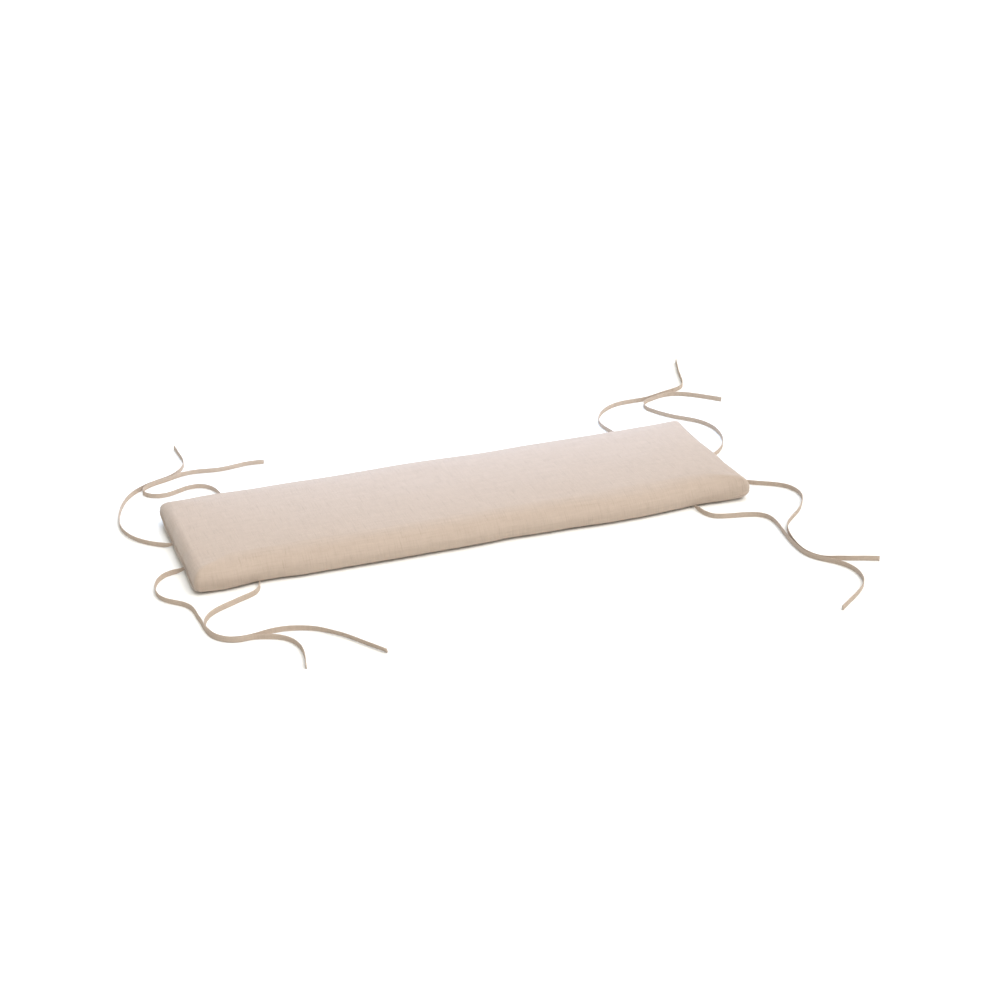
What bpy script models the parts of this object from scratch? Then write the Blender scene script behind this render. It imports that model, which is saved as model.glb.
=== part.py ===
"""Bench cushion: a linen-covered foam pad with a pair of flat tapes at each corner, lying on a flat surface.

Metres, +Z up. X runs along the cushion, Y across it, and the origin is under its middle, on the surface.
"""

import math

import bmesh
import bpy
import numpy as np

# ---- driving sizes: the pad ----
LENGTH = 1.200
WIDTH = 0.357
EDGE_THICKNESS = 0.0482      # height of the top just inside its rolled edge
CROWN = 0.0035               # how much the middle stands above the edge
SIDE_HEIGHT = 0.024          # height at which the side bulges furthest
SIDE_ROLL = 0.022            # how far the roll of the side reaches in over the top, and in underneath
CORNER_RADIUS = 0.015        # of the plan, at the bulge

# ---- driving sizes: the seam that joins top and underside ----
SEAM_HEIGHT = 0.008
SEAM_DEPTH = 0.0014
SEAM_HALF_WIDTH = 0.0012

# ---- driving sizes: the tapes ----
TAPE_WIDTH = 0.0105
TAPE_THICKNESS = 0.0016
TAPE_LIFT = 0.0004           # keeps a tape's lower edge clear of the surface
TAPE_STEP = 0.010            # between cross-sections along a tape
ROOT_LENGTH = 0.010          # over which a tape tapers into the seam
ROOT_SHARE = 0.52            # of its width that is left at the seam
TIP_LENGTH = 0.005           # over which the folded tip rounds off
TIP_SHARE = 0.72

# ---- finishes: name, colour, roughness ----
LINEN = ("natural_linen", (0.61, 0.51, 0.44), 0.92)
TAPE_LINEN = ("linen_tape", (0.50, 0.41, 0.34), 0.90)

# Places where the long and short sides bulge or are drawn in, most of them where a tape is sewn on.
# side, how far along that side, reach to each hand, how far out (negative is drawn in)
SIDE_SWELLS = (
    ("front", -0.535, 0.045, 0.0035),
    ("front", -0.450, 0.070, -0.0050),
    ("front", -0.210, 0.130, 0.0020),
    ("front", 0.050, 0.090, -0.0042),
    ("front", 0.300, 0.150, 0.0040),
    ("front", 0.480, 0.090, -0.0042),
    ("back", -0.500, 0.060, 0.0020),
    ("back", -0.405, 0.050, -0.0015),
    ("back", -0.240, 0.080, -0.0018),
    ("back", -0.065, 0.110, 0.0030),
    ("back", 0.115, 0.100, -0.0032),
    ("back", 0.510, 0.080, 0.0025),
    ("left", -0.068, 0.050, -0.0014),
    ("left", 0.046, 0.050, -0.0014),
    ("right", -0.077, 0.050, -0.0014),
    ("right", 0.046, 0.050, -0.0014),
)
SWELL_FADE = 0.075           # distance in from the side over which a swell dies away

# Broad dips and rises of the top, where the filling gives: x, y, half length, half width, height
TOP_SWELLS = (
    (-0.540, 0.020, 0.060, 0.120, -0.0012),
    (-0.300, -0.060, 0.110, 0.080, 0.0010),
    (-0.060, 0.070, 0.120, 0.070, -0.0012),
    (0.180, -0.050, 0.120, 0.080, 0.0010),
    (0.400, 0.060, 0.100, 0.080, -0.0010),
    (0.545, -0.020, 0.050, 0.110, -0.0012),
)

# Folded tapes lying on edge: the points that the middle of each one passes, from its seam to its tip.
TAPES = {
    "tie_front_left_edge": (
        (-0.472, -0.1677), (-0.473, -0.1800), (-0.477, -0.1940), (-0.487, -0.2090), (-0.508, -0.2210),
        (-0.538, -0.2350), (-0.568, -0.2500), (-0.591, -0.2680), (-0.604, -0.2895), (-0.6075, -0.3105),
        (-0.6045, -0.3310), (-0.596, -0.3520), (-0.580, -0.3680), (-0.558, -0.3755), (-0.533, -0.3755),
        (-0.507, -0.3705), (-0.476, -0.3690), (-0.446, -0.3760), (-0.418, -0.3900), (-0.394, -0.4110),
        (-0.374, -0.4335), (-0.356, -0.4600), (-0.338, -0.4870), (-0.319, -0.5150),
    ),
    "tie_front_left_end": (
        (-0.5918, -0.0680), (-0.606, -0.0690), (-0.620, -0.0705), (-0.637, -0.0770), (-0.654, -0.0930),
        (-0.665, -0.1170), (-0.668, -0.1450), (-0.662, -0.1710), (-0.6495, -0.1880), (-0.632, -0.2040),
        (-0.6175, -0.2270), (-0.614, -0.2570), (-0.6115, -0.2840), (-0.6105, -0.3100), (-0.6075, -0.3320),
        (-0.5985, -0.3540), (-0.5815, -0.3707), (-0.558, -0.3785), (-0.533, -0.3790), (-0.510, -0.3860),
        (-0.487, -0.3980), (-0.470, -0.4180), (-0.462, -0.4460), (-0.463, -0.4790), (-0.4705, -0.5160),
    ),
    "tie_back_left_edge": (
        (-0.462, 0.1725), (-0.459, 0.1900), (-0.4555, 0.2170), (-0.4545, 0.2440), (-0.458, 0.2710),
        (-0.469, 0.2950), (-0.487, 0.3085), (-0.508, 0.3095), (-0.532, 0.3010), (-0.557, 0.2905),
        (-0.580, 0.2900), (-0.598, 0.3005), (-0.6065, 0.3160), (-0.604, 0.3340), (-0.590, 0.3490),
        (-0.567, 0.3605), (-0.545, 0.3690), (-0.522, 0.3785), (-0.497, 0.3845), (-0.465, 0.3835),
        (-0.430, 0.3780), (-0.396, 0.3820), (-0.361, 0.3870), (-0.325, 0.3840),
    ),
    "tie_back_left_end": (
        (-0.5918, 0.0455), (-0.606, 0.0495), (-0.623, 0.0595), (-0.645, 0.0785), (-0.663, 0.1020),
        (-0.676, 0.1310), (-0.6815, 0.1610), (-0.6805, 0.1930), (-0.675, 0.2250), (-0.665, 0.2580),
        (-0.651, 0.2900), (-0.632, 0.3190), (-0.608, 0.3410), (-0.584, 0.3565), (-0.560, 0.3670),
        (-0.538, 0.3775), (-0.519, 0.3940), (-0.505, 0.4130), (-0.496, 0.4350), (-0.4935, 0.4600),
        (-0.495, 0.4930), (-0.497, 0.5350),
    ),
    "tie_front_right_edge": (
        (0.468, -0.1678), (0.470, -0.1820), (0.4715, -0.1980), (0.476, -0.2150), (0.485, -0.2290),
        (0.503, -0.2375), (0.530, -0.2440), (0.556, -0.2500), (0.576, -0.2590), (0.588, -0.2730),
        (0.592, -0.2930), (0.590, -0.3200), (0.584, -0.3520), (0.579, -0.3880), (0.577, -0.4280),
        (0.5835, -0.4600), (0.600, -0.4840), (0.621, -0.5090), (0.634, -0.5390), (0.634, -0.5690),
        (0.624, -0.5970), (0.602, -0.6225), (0.5685, -0.6480), (0.533, -0.6735),
    ),
    "tie_front_right_end": (
        (0.5924, -0.0762), (0.608, -0.0880), (0.629, -0.1055), (0.650, -0.1190), (0.673, -0.1330),
        (0.694, -0.1500), (0.706, -0.1740), (0.706, -0.2030), (0.6925, -0.2330), (0.6685, -0.2640),
        (0.6355, -0.2940), (0.6105, -0.3190), (0.595, -0.3490), (0.585, -0.3860), (0.5805, -0.4260),
        (0.5862, -0.4570), (0.6022, -0.4800), (0.626, -0.4905), (0.650, -0.5000), (0.676, -0.5105),
        (0.705, -0.5225),
    ),
    "tie_back_right_edge": (
        (0.472, 0.1730), (0.473, 0.1860), (0.472, 0.2120), (0.468, 0.2400), (0.4625, 0.2690),
        (0.4595, 0.2980), (0.465, 0.3280), (0.480, 0.3550), (0.504, 0.3800), (0.533, 0.3980),
        (0.565, 0.4060), (0.595, 0.4070), (0.620, 0.4080), (0.645, 0.4140), (0.672, 0.4230),
        (0.706, 0.4335), (0.733, 0.4450), (0.749, 0.4640), (0.760, 0.4930), (0.769, 0.5220),
        (0.780, 0.5530), (0.802, 0.6110),
    ),
    "tie_back_right_end": (
        (0.5917, 0.0460), (0.612, 0.0475), (0.632, 0.0560), (0.653, 0.0730), (0.675, 0.1020),
        (0.689, 0.1330), (0.696, 0.1670), (0.695, 0.2000), (0.686, 0.2280), (0.668, 0.2540),
        (0.645, 0.2780), (0.624, 0.3050), (0.609, 0.3320), (0.601, 0.3550), (0.603, 0.3740),
        (0.614, 0.3900), (0.632, 0.4010), (0.652, 0.4090), (0.676, 0.4150), (0.704, 0.4115),
        (0.731, 0.3970), (0.761, 0.3700), (0.792, 0.3390),
    ),
}


def finish(name, colour, roughness):
    """A plain material with this piece's colour."""
    material = bpy.data.materials.new(name)
    material.use_nodes = True
    shader = material.node_tree.nodes["Principled BSDF"]
    shader.inputs["Base Color"].default_value = (*colour, 1.0)
    shader.inputs["Roughness"].default_value = roughness
    shader.inputs["Metallic"].default_value = 0.0
    material.diffuse_color = (*colour, 1.0)
    return material


def add_object(name, shape, material):
    """Turns a bmesh into a named, smooth-shaded object."""
    bmesh.ops.recalc_face_normals(shape, faces=shape.faces)
    mesh = bpy.data.meshes.new(name)
    shape.to_mesh(mesh)
    shape.free()
    mesh.shade_smooth()
    mesh.set_sharp_from_angle(angle=math.radians(40))
    mesh.materials.append(material)
    made = bpy.data.objects.new(name, mesh)
    bpy.context.scene.collection.objects.link(made)
    return made


# ---- the pad ----

LONG_STEPS = 44
SHORT_STEPS = 20
CORNER_STEPS = 6
UNDER_ANGLES = (-90, -76, -62)           # of the roll, in degrees: -90 lies on the surface, 0 is the bulge
SIDE_ANGLES = (-30, -15, 0, 16, 32, 48, 64, 80)
CROWN_INSETS = (0.030, 0.050, 0.080, 0.115, 0.150, 0.168)


def bell(distance, reach):
    """1 at the middle of a swell, 0 from its reach on, smooth at both."""
    share = min(abs(distance) / reach, 1.0)
    return (1 - share * share) ** 2


def outline(inset):
    """The pad's plan, this far in from its bulge: a rectangle with round corners, from the front left corner."""
    radius = max(CORNER_RADIUS - inset, 0.0008)
    half_x = LENGTH / 2 - inset - radius
    half_y = WIDTH / 2 - inset - radius
    corners = ((-half_x, -half_y), (half_x, -half_y), (half_x, half_y), (-half_x, half_y))
    points = []
    for index, (x, y) in enumerate(corners):
        start = math.pi + index * math.pi / 2
        for step in range(CORNER_STEPS + 1):
            angle = start + step / CORNER_STEPS * math.pi / 2
            points.append((x + radius * math.cos(angle), y + radius * math.sin(angle)))
        following = corners[(index + 1) % 4]
        steps = SHORT_STEPS if index % 2 else LONG_STEPS
        side = index * math.pi / 2 - math.pi / 2
        out_x, out_y = radius * math.cos(side), radius * math.sin(side)
        for step in range(1, steps):
            share = step / steps
            points.append((x + (following[0] - x) * share + out_x, y + (following[1] - y) * share + out_y))
    return points


def swelled(x, y):
    """Moves a point of the plan with the swells of the side that it is near."""
    moves = {"front": (0, -1), "back": (0, 1), "left": (-1, 0), "right": (1, 0)}
    moved_x, moved_y = x, y
    for side, along, reach, out in SIDE_SWELLS:
        way_x, way_y = moves[side]
        far = (LENGTH if way_x else WIDTH) / 2 - (x * way_x + y * way_y)
        here = x if way_y else y
        amount = out * bell(here - along, reach) * bell(max(far, 0), SWELL_FADE)
        moved_x += way_x * amount
        moved_y += way_y * amount
    return moved_x, moved_y


def top_height(x, y, inset):
    """Crown and broad swells of the top, added to the height of its roll."""
    height = CROWN * (1 - (1 - inset / (WIDTH / 2)) ** 2)
    for at_x, at_y, half_x, half_y, rise in TOP_SWELLS:
        height += rise * bell(math.hypot((x - at_x) / half_x, (y - at_y) / half_y), 1.0)
    return height


def roll_point(degrees):
    """Inset and height on the rolled side, at this angle."""
    angle = math.radians(degrees)
    inset = SIDE_ROLL * (1 - math.cos(angle))
    reach = SIDE_HEIGHT if angle < 0 else EDGE_THICKNESS - SIDE_HEIGHT
    return inset, SIDE_HEIGHT + reach * math.sin(angle)


def seam_rings():
    """Inset and height of the three rings of the seam's groove, from below it to above it."""
    rings = []
    for rise, sink in ((-SEAM_HALF_WIDTH, 0.0), (0.0, SEAM_DEPTH), (SEAM_HALF_WIDTH, 0.0)):
        height = SEAM_HEIGHT + rise
        inset, _ = roll_point(math.degrees(math.asin(height / SIDE_HEIGHT - 1)))
        rings.append((inset + sink, height))
    return rings


def cushion(material):
    """The filled pad: rings of points from its flat underside, round its rolled side, to its crown."""
    rings = [roll_point(angle) for angle in UNDER_ANGLES]
    rings += seam_rings()
    rings += [roll_point(angle) for angle in SIDE_ANGLES]
    rings.append((SIDE_ROLL, EDGE_THICKNESS))
    rings += [(inset, EDGE_THICKNESS) for inset in CROWN_INSETS]
    shape = bmesh.new()
    loops = []
    for inset, height in rings:
        loop = []
        for x, y in outline(inset):
            lift = top_height(x, y, inset) * max(0.0, height / SIDE_HEIGHT - 1) if height > SIDE_HEIGHT else 0.0
            moved_x, moved_y = swelled(x, y)
            loop.append(shape.verts.new((moved_x, moved_y, height + lift)))
        loops.append(loop)
    for lower, upper in zip(loops, loops[1:]):
        for index in range(len(lower)):
            after = (index + 1) % len(lower)
            shape.faces.new((lower[index], lower[after], upper[after], upper[index]))
    shape.faces.new(tuple(reversed(loops[0])))
    shape.faces.new(tuple(loops[-1]))
    return add_object("cushion", shape, material)


# ---- the tapes ----


def smooth_curve(points, step):
    """Points about a step apart on the smooth curve through these points (a natural cubic spline)."""
    points = np.array(points, float)
    gaps = np.linalg.norm(np.diff(points, axis=0), axis=1)
    along = np.concatenate([[0.0], np.cumsum(gaps)])
    count = len(points)
    matrix = np.eye(count)
    right = np.zeros_like(points)
    for i in range(1, count - 1):
        matrix[i, i - 1 : i + 2] = gaps[i - 1], 2 * (gaps[i - 1] + gaps[i]), gaps[i]
        right[i] = 6 * ((points[i + 1] - points[i]) / gaps[i] - (points[i] - points[i - 1]) / gaps[i - 1])
    bends = np.linalg.solve(matrix, right)
    samples = []
    for at in np.linspace(0, along[-1], max(int(round(along[-1] / step)), 2) + 1):
        i = min(int(np.searchsorted(along, at, side="right")) - 1, count - 2)
        before, after, gap = at - along[i], along[i + 1] - at, gaps[i]
        samples.append(
            (bends[i] * after**3 + bends[i + 1] * before**3) / (6 * gap)
            + (points[i] / gap - bends[i] * gap / 6) * after
            + (points[i + 1] / gap - bends[i + 1] * gap / 6) * before
        )
    return np.array(samples)


def tape_height(from_root, from_tip):
    """Height of a tape on edge: pressed low where it goes into the seam, and a little rounded at its tip."""
    root = ROOT_SHARE + (1 - ROOT_SHARE) * min(from_root / ROOT_LENGTH, 1.0)
    tip = TIP_SHARE + (1 - TIP_SHARE) * min(from_tip / TIP_LENGTH, 1.0)
    return TAPE_WIDTH * root * tip


def tape(name, route, material):
    """A flat folded tape on edge along its route, one rectangular cross-section after another."""
    middle = smooth_curve(route, TAPE_STEP)
    gaps = np.linalg.norm(np.diff(middle, axis=0), axis=1)
    along = np.concatenate([[0.0], np.cumsum(gaps)])
    shape = bmesh.new()
    sections = []
    for (x, y), (dx, dy), at in zip(middle, np.gradient(middle, axis=0), along):
        size = math.hypot(dx, dy)
        aside_x = -dy / size * TAPE_THICKNESS / 2
        aside_y = dx / size * TAPE_THICKNESS / 2
        top = TAPE_LIFT + tape_height(at, along[-1] - at)
        corners = ((-1, TAPE_LIFT), (1, TAPE_LIFT), (1, top), (-1, top))
        sections.append([shape.verts.new((x + side * aside_x, y + side * aside_y, z)) for side, z in corners])
    for first, second in zip(sections, sections[1:]):
        for index in range(4):
            after = (index + 1) % 4
            shape.faces.new((first[index], first[after], second[after], second[index]))
    shape.faces.new(sections[0])
    shape.faces.new(sections[-1])
    return add_object(name, shape, material)


for old in list(bpy.data.objects):
    bpy.data.objects.remove(old, do_unlink=True)

cushion(finish(*LINEN))
tape_finish = finish(*TAPE_LINEN)
for tape_name, tape_route in TAPES.items():
    tape(tape_name, tape_route, tape_finish)
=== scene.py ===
# %% [markdown]
# # Dressing a linen bench cushion
# The real thing is a long pad for a bench: a foam filling in a cover of natural linen, with a pair of
# narrow fabric ties sewn into the seam near each corner. The construction model already has the right
# sizes, so this lesson gives it its looks: camera and light, the linen, the folded ties with their
# stitching, and a cover that is blown up by a cloth simulation as the filling blows up the real one.
# Every length is in metres, Z is up, X runs along the cushion and Y across it.

# %% load the construction model
import math
from collections import namedtuple

import bpy
import numpy as np
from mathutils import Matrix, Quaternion, Vector
from mathutils.bvhtree import BVHTree


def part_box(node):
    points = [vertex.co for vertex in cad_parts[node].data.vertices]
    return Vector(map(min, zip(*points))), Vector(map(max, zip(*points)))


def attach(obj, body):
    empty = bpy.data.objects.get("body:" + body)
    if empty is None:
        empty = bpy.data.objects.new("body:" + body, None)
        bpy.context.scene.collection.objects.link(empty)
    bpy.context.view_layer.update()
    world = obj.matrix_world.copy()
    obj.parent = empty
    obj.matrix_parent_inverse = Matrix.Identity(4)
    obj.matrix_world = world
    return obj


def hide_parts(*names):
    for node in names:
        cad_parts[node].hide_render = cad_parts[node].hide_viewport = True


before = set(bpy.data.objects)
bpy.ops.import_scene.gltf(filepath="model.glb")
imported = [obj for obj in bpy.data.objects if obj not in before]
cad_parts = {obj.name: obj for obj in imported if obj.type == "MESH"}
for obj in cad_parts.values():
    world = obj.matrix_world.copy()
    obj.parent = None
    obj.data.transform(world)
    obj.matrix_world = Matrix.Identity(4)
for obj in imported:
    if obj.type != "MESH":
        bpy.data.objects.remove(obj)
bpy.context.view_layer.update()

MM = 0.001


def in_mm(*lengths):
    """Lengths as millimetres, for the lines that this lesson prints."""
    return [round(float(length) / MM, 1) for length in lengths]


def link(name, data):
    """An object in the scene, at the origin, for a mesh, a camera or a lamp."""
    made = bpy.data.objects.new(name, data)
    bpy.context.scene.collection.objects.link(made)
    return made


pad_low, pad_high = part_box("cushion")
print("pad alone in mm", in_mm(*(pad_high - pad_low)))

# %% [markdown]
# ## Camera
# A product photographer stands in front of the left half of the cushion and looks down at it with a
# long lens. A camera could be aimed with a constraint, but a lesson is easier to follow when the
# direction is worked out once from two angles and a target, so that is done here.

# %% camera
CAMERA_AZIMUTH = math.radians(-20.49)
CAMERA_ELEVATION = math.radians(25.47)
CAMERA_ROLL = math.radians(-0.36)
CAMERA_DISTANCE = 3.847
CAMERA_TARGET = Vector((0.0993, 0.0135, 0.0010))
LENS_MM = 64.8

to_camera = Vector(
    (
        math.sin(CAMERA_AZIMUTH) * math.cos(CAMERA_ELEVATION),
        -math.cos(CAMERA_AZIMUTH) * math.cos(CAMERA_ELEVATION),
        math.sin(CAMERA_ELEVATION),
    )
)
camera = link("camera", bpy.data.cameras.new("camera"))
camera.data.lens = LENS_MM
camera.data.sensor_width = 36.0
camera.location = CAMERA_TARGET + to_camera * CAMERA_DISTANCE
camera.rotation_mode = "QUATERNION"
camera.rotation_quaternion = (-to_camera).to_track_quat("-Z", "Y") @ Quaternion((0, 0, 1), CAMERA_ROLL)
bpy.context.scene.camera = camera
print("camera stands at", [round(c, 2) for c in camera.location])

# %% [markdown]
# ## Light and ground
# The photo has a white ground with hardly a shadow, and the cushion is brightest along its far edge: a
# white tent of light, with large soft boxes in front and overhead and a narrow one low behind. A world
# of one pale colour stands in for the tent. The large boxes could be area lamps, but suns with a wide
# angle light the near end and the far end alike, as boxes at some distance do, so only the one behind
# is an area lamp. The ground is a plain matt sheet, a little under the cushion so that the two
# surfaces don't share a plane.

# %% light and ground
WORLD_COLOUR, WORLD_STRENGTH = (1.0, 0.985, 0.945, 1.0), 0.42
STRIP_PLACE, STRIP_AIM = Vector((0.09, 0.52, 0.30)), Vector((0.05, 0.10, 0.02))
STRIP_LENGTH, STRIP_HEIGHT, STRIP_SPREAD = 1.4, 0.16, math.radians(110)
BOX_ANGLE, SCRIM_ANGLE = math.radians(50), math.radians(80)
GROUND_DROP, GROUND_HALF = 0.3 * MM, 20.0


def light(name, kind, way, energy, colour):
    """A lamp of this kind whose light comes from this direction."""
    made = link(name, bpy.data.lights.new(name, kind))
    made.data.energy = energy
    made.data.color = colour
    made.rotation_mode = "QUATERNION"
    made.rotation_quaternion = Vector(way).to_track_quat("Z", "Y")
    return made


def new_material(name, **finish):
    """A material, with inputs of its Principled shader set by their names, written with underscores."""
    made = bpy.data.materials.new(name)
    made.use_nodes = True
    for socket, value in finish.items():
        made.node_tree.nodes["Principled BSDF"].inputs[socket.replace("_", " ")].default_value = value
    return made


world = bpy.data.worlds.new("white tent")
world.use_nodes = True
world.node_tree.nodes["Background"].inputs["Color"].default_value = WORLD_COLOUR
world.node_tree.nodes["Background"].inputs["Strength"].default_value = WORLD_STRENGTH
bpy.context.scene.world = world
bpy.context.scene.view_settings.view_transform = "Standard"

strip = light("strip behind", "AREA", STRIP_PLACE - STRIP_AIM, 2.5, (0.50, 0.67, 1.0))
strip.location = STRIP_PLACE
strip.visible_camera = False
strip.data.shape = "RECTANGLE"
strip.data.size = STRIP_LENGTH
strip.data.size_y = STRIP_HEIGHT
strip.data.spread = STRIP_SPREAD
box = light("large soft box in front on the right", "SUN", (0.25, -0.505, 0.826), 1.69, (1.0, 0.982, 0.96))
box.data.angle = BOX_ANGLE
scrim = light("scrim overhead on the right", "SUN", (0.36, 0.12, 1.0), 1.67, (1.0, 0.99, 0.98))
scrim.data.angle = SCRIM_ANGLE

ground_corners = ((-1, -1), (1, -1), (1, 1), (-1, 1))
ground_mesh = bpy.data.meshes.new("ground")
ground_mesh.from_pydata(
    [(x * GROUND_HALF, y * GROUND_HALF, -GROUND_DROP) for x, y in ground_corners], [], [(0, 1, 2, 3)]
)
ground = link("ground", ground_mesh)
paper = new_material(
    "white paper ground", Base_Color=(0.95, 0.955, 0.93, 1.0), Roughness=1.0, Specular_IOR_Level=0.0
)
ground_mesh.materials.append(paper)
print("lamps and ground are set, world strength", WORLD_STRENGTH)

# %% [markdown]
# ## Linen, as one node group
# Linen is a plain weave of uneven yarn. Each thread is a stripe with its own tone, threads take turns
# lying on top in a chequerboard, and here and there a thick place in the yarn, a slub, shows as a
# darker dash. A photo of cloth could be tiled, but it would repeat and blur close up. The pattern is
# simple, so it is worked out from the place on the cloth, in metres, and put in a group that the
# cover and the ties share. It puts out a tone and a height, and the shader stays in each material.

# %% helpers for node trees


def add_node(tree, kind, feeds=None, **settings):
    """A node with its settings, whose inputs are fed by sockets or set to plain values."""
    node = tree.nodes.new(kind)
    for name, value in settings.items():
        setattr(node, name, value)
    for socket, value in (feeds or {}).items():
        if isinstance(value, bpy.types.NodeSocket):
            tree.links.new(value, node.inputs[socket])
        else:
            node.inputs[socket].default_value = value
    return node


def maths(tree, operation, *values):
    """The result of a Math node."""
    return add_node(tree, "ShaderNodeMath", dict(enumerate(values)), operation=operation).outputs[0]


def remap(tree, value, low, high, to_low=0.0, to_high=1.0):
    """A value carried smoothly from one range to another, and held at its ends."""
    feeds = {"Value": value, "From Min": low, "From Max": high, "To Min": to_low, "To Max": to_high}
    return add_node(tree, "ShaderNodeMapRange", feeds, interpolation_type="SMOOTHSTEP").outputs["Result"]


def streaks(tree, across, along, width, length, detail=2.0):
    """Noise drawn out along one direction, with streaks about this wide and long."""
    place = add_node(
        tree,
        "ShaderNodeCombineXYZ",
        {"X": maths(tree, "DIVIDE", across, width), "Y": maths(tree, "DIVIDE", along, length)},
    )
    feeds = {"Vector": place.outputs[0], "Scale": 1.0, "Detail": detail, "Roughness": 0.55}
    return add_node(tree, "ShaderNodeTexNoise", feeds, noise_dimensions="2D").outputs[0]


# %% the weave group
WEAVE_INPUTS = (("Thread pitch", 0.7 * MM), ("Thread tone", 0.22), ("Slub tone", 0.20), ("Mottle", 0.22))
ON_TOP_BLEND = 0.35            # of the wave: how softly one set of threads gives way to the other

# Streaks in the yarn, each with its width and its length
WARP_STREAK, WEFT_STREAK = (1.1 * MM, 45 * MM), (1.1 * MM, 30 * MM)
WARP_BUNDLE, WEFT_BUNDLE = (4.5 * MM, 130 * MM), (3.0 * MM, 75 * MM)
WARP_SLUB, WEFT_SLUB = (3.2 * MM, 36 * MM), (2.4 * MM, 42 * MM)
WEFT_SLUB_SHOWS, WARP_SLUB_SHOWS = (0.60, 0.80), (0.64, 0.82)          # from here, and full from there
WARP_SLUB_SHARE = 0.6          # how strong they are beside the ones in the weft
MOTTLE_SIZE = 16 * MM
THREE_MEANS = 1.5              # what three noises come to on average, taken off their sum
THREAD_ROUNDNESS = 0.5         # power of the wave: below 1 a thread is round and the gaps are narrow
# painted shade: the tone is darkened in the gaps between the threads, most where they dip deepest
GAP_DEPTH, GAP_SHADE = 0.55, -0.10
SLUB_HEIGHT = 0.7              # of a thread's own height


def weave_group():
    """Tone and height of plain-woven linen from a place on the cloth."""
    tree = bpy.data.node_groups.new("plain linen weave", "ShaderNodeTree")
    face = tree.interface
    face.new_socket("Place", in_out="INPUT", socket_type="NodeSocketVector")
    for name, value in WEAVE_INPUTS:
        face.new_socket(name, in_out="INPUT", socket_type="NodeSocketFloat").default_value = value
    face.new_socket("Tone", in_out="OUTPUT", socket_type="NodeSocketFloat")
    face.new_socket("Height", in_out="OUTPUT", socket_type="NodeSocketFloat")
    given = tree.nodes.new("NodeGroupInput").outputs
    place = add_node(tree, "ShaderNodeSeparateXYZ", {"Vector": given["Place"]}).outputs
    along, across = place["X"], place["Y"]
    pitch = given["Thread pitch"]

    # the two sets of threads, and which of them lies on top
    wave_x = maths(tree, "SINE", maths(tree, "MULTIPLY", maths(tree, "DIVIDE", along, pitch), math.pi))
    wave_y = maths(tree, "SINE", maths(tree, "MULTIPLY", maths(tree, "DIVIDE", across, pitch), math.pi))
    turns = maths(tree, "MULTIPLY", wave_x, wave_y)
    warp_on_top = remap(tree, turns, -ON_TOP_BLEND, ON_TOP_BLEND)
    bulge = maths(tree, "POWER", maths(tree, "ABSOLUTE", turns), THREAD_ROUNDNESS)

    # every thread has a tone of its own, which drifts along it, and so has every bundle of threads
    warp_tone = streaks(tree, across, along, *WARP_STREAK)
    weft_tone = streaks(tree, along, across, *WEFT_STREAK)
    feeds = {0: warp_on_top, 2: weft_tone, 3: warp_tone}            # 2 and 3 are the node's two numbers
    mixed = add_node(tree, "ShaderNodeMix", feeds).outputs[0]
    warp_bundles = streaks(tree, across, along, *WARP_BUNDLE)
    weft_bundles = streaks(tree, along, across, *WEFT_BUNDLE)
    bundles = maths(tree, "ADD", warp_bundles, weft_bundles)
    yarn = maths(tree, "SUBTRACT", maths(tree, "ADD", mixed, bundles), THREE_MEANS)
    thread = maths(tree, "MULTIPLY", yarn, given["Thread tone"])

    # slubs: thick places, more of them in the threads that run across
    weft_slub = remap(tree, streaks(tree, along, across, *WEFT_SLUB, 1.0), *WEFT_SLUB_SHOWS)
    warp_slub = remap(tree, streaks(tree, across, along, *WARP_SLUB, 1.0), *WARP_SLUB_SHOWS)
    slub = maths(tree, "MAXIMUM", weft_slub, maths(tree, "MULTIPLY", warp_slub, WARP_SLUB_SHARE))
    dark = maths(tree, "MULTIPLY", slub, given["Slub tone"])

    # a soft mottle at a finger's width, as in washed linen
    feeds = {"Vector": given["Place"], "Scale": 1 / MOTTLE_SIZE, "Detail": 3.0, "Roughness": 0.6}
    cloud = add_node(tree, "ShaderNodeTexNoise", feeds, noise_dimensions="2D").outputs[0]
    mottle = maths(tree, "MULTIPLY", maths(tree, "SUBTRACT", cloud, 0.5), given["Mottle"])

    # painted shade in the gaps between the threads, where the bulge is low
    gaps = remap(tree, bulge, 0.0, GAP_DEPTH, GAP_SHADE, 0.0)
    tone = maths(tree, "ADD", maths(tree, "ADD", thread, mottle), maths(tree, "SUBTRACT", gaps, dark))
    height = maths(tree, "ADD", bulge, maths(tree, "MULTIPLY", slub, SLUB_HEIGHT))
    out = tree.nodes.new("NodeGroupOutput")
    tree.links.new(maths(tree, "ADD", tone, 0.5), out.inputs["Tone"])
    tree.links.new(height, out.inputs["Height"])
    return tree


linen_weave = weave_group()
print("the weave group has", len(linen_weave.nodes), "nodes")

# %% [markdown]
# ## Two linen finishes
# Cover and ties are cut from the same cloth, but the ties are folded to four layers and pressed, so
# they are a little smoother and have hardly any fluff. Each material mixes a dark and a light yarn by
# the group's tone and bumps the surface by its height. Matt cloth has a soft bright rim of loose
# fibres, which is what the sheen of the Principled shader is for.

# %% linen materials
CLOTH_MAP = "cloth"


def between(tree, share, dark, light_yarn):
    """A colour mixed from two by a share."""
    feeds = {0: share, 6: (*dark, 1.0), 7: (*light_yarn, 1.0)}      # 6 and 7 are the node's two colours
    return add_node(tree, "ShaderNodeMix", feeds, data_type="RGBA").outputs[2]


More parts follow.
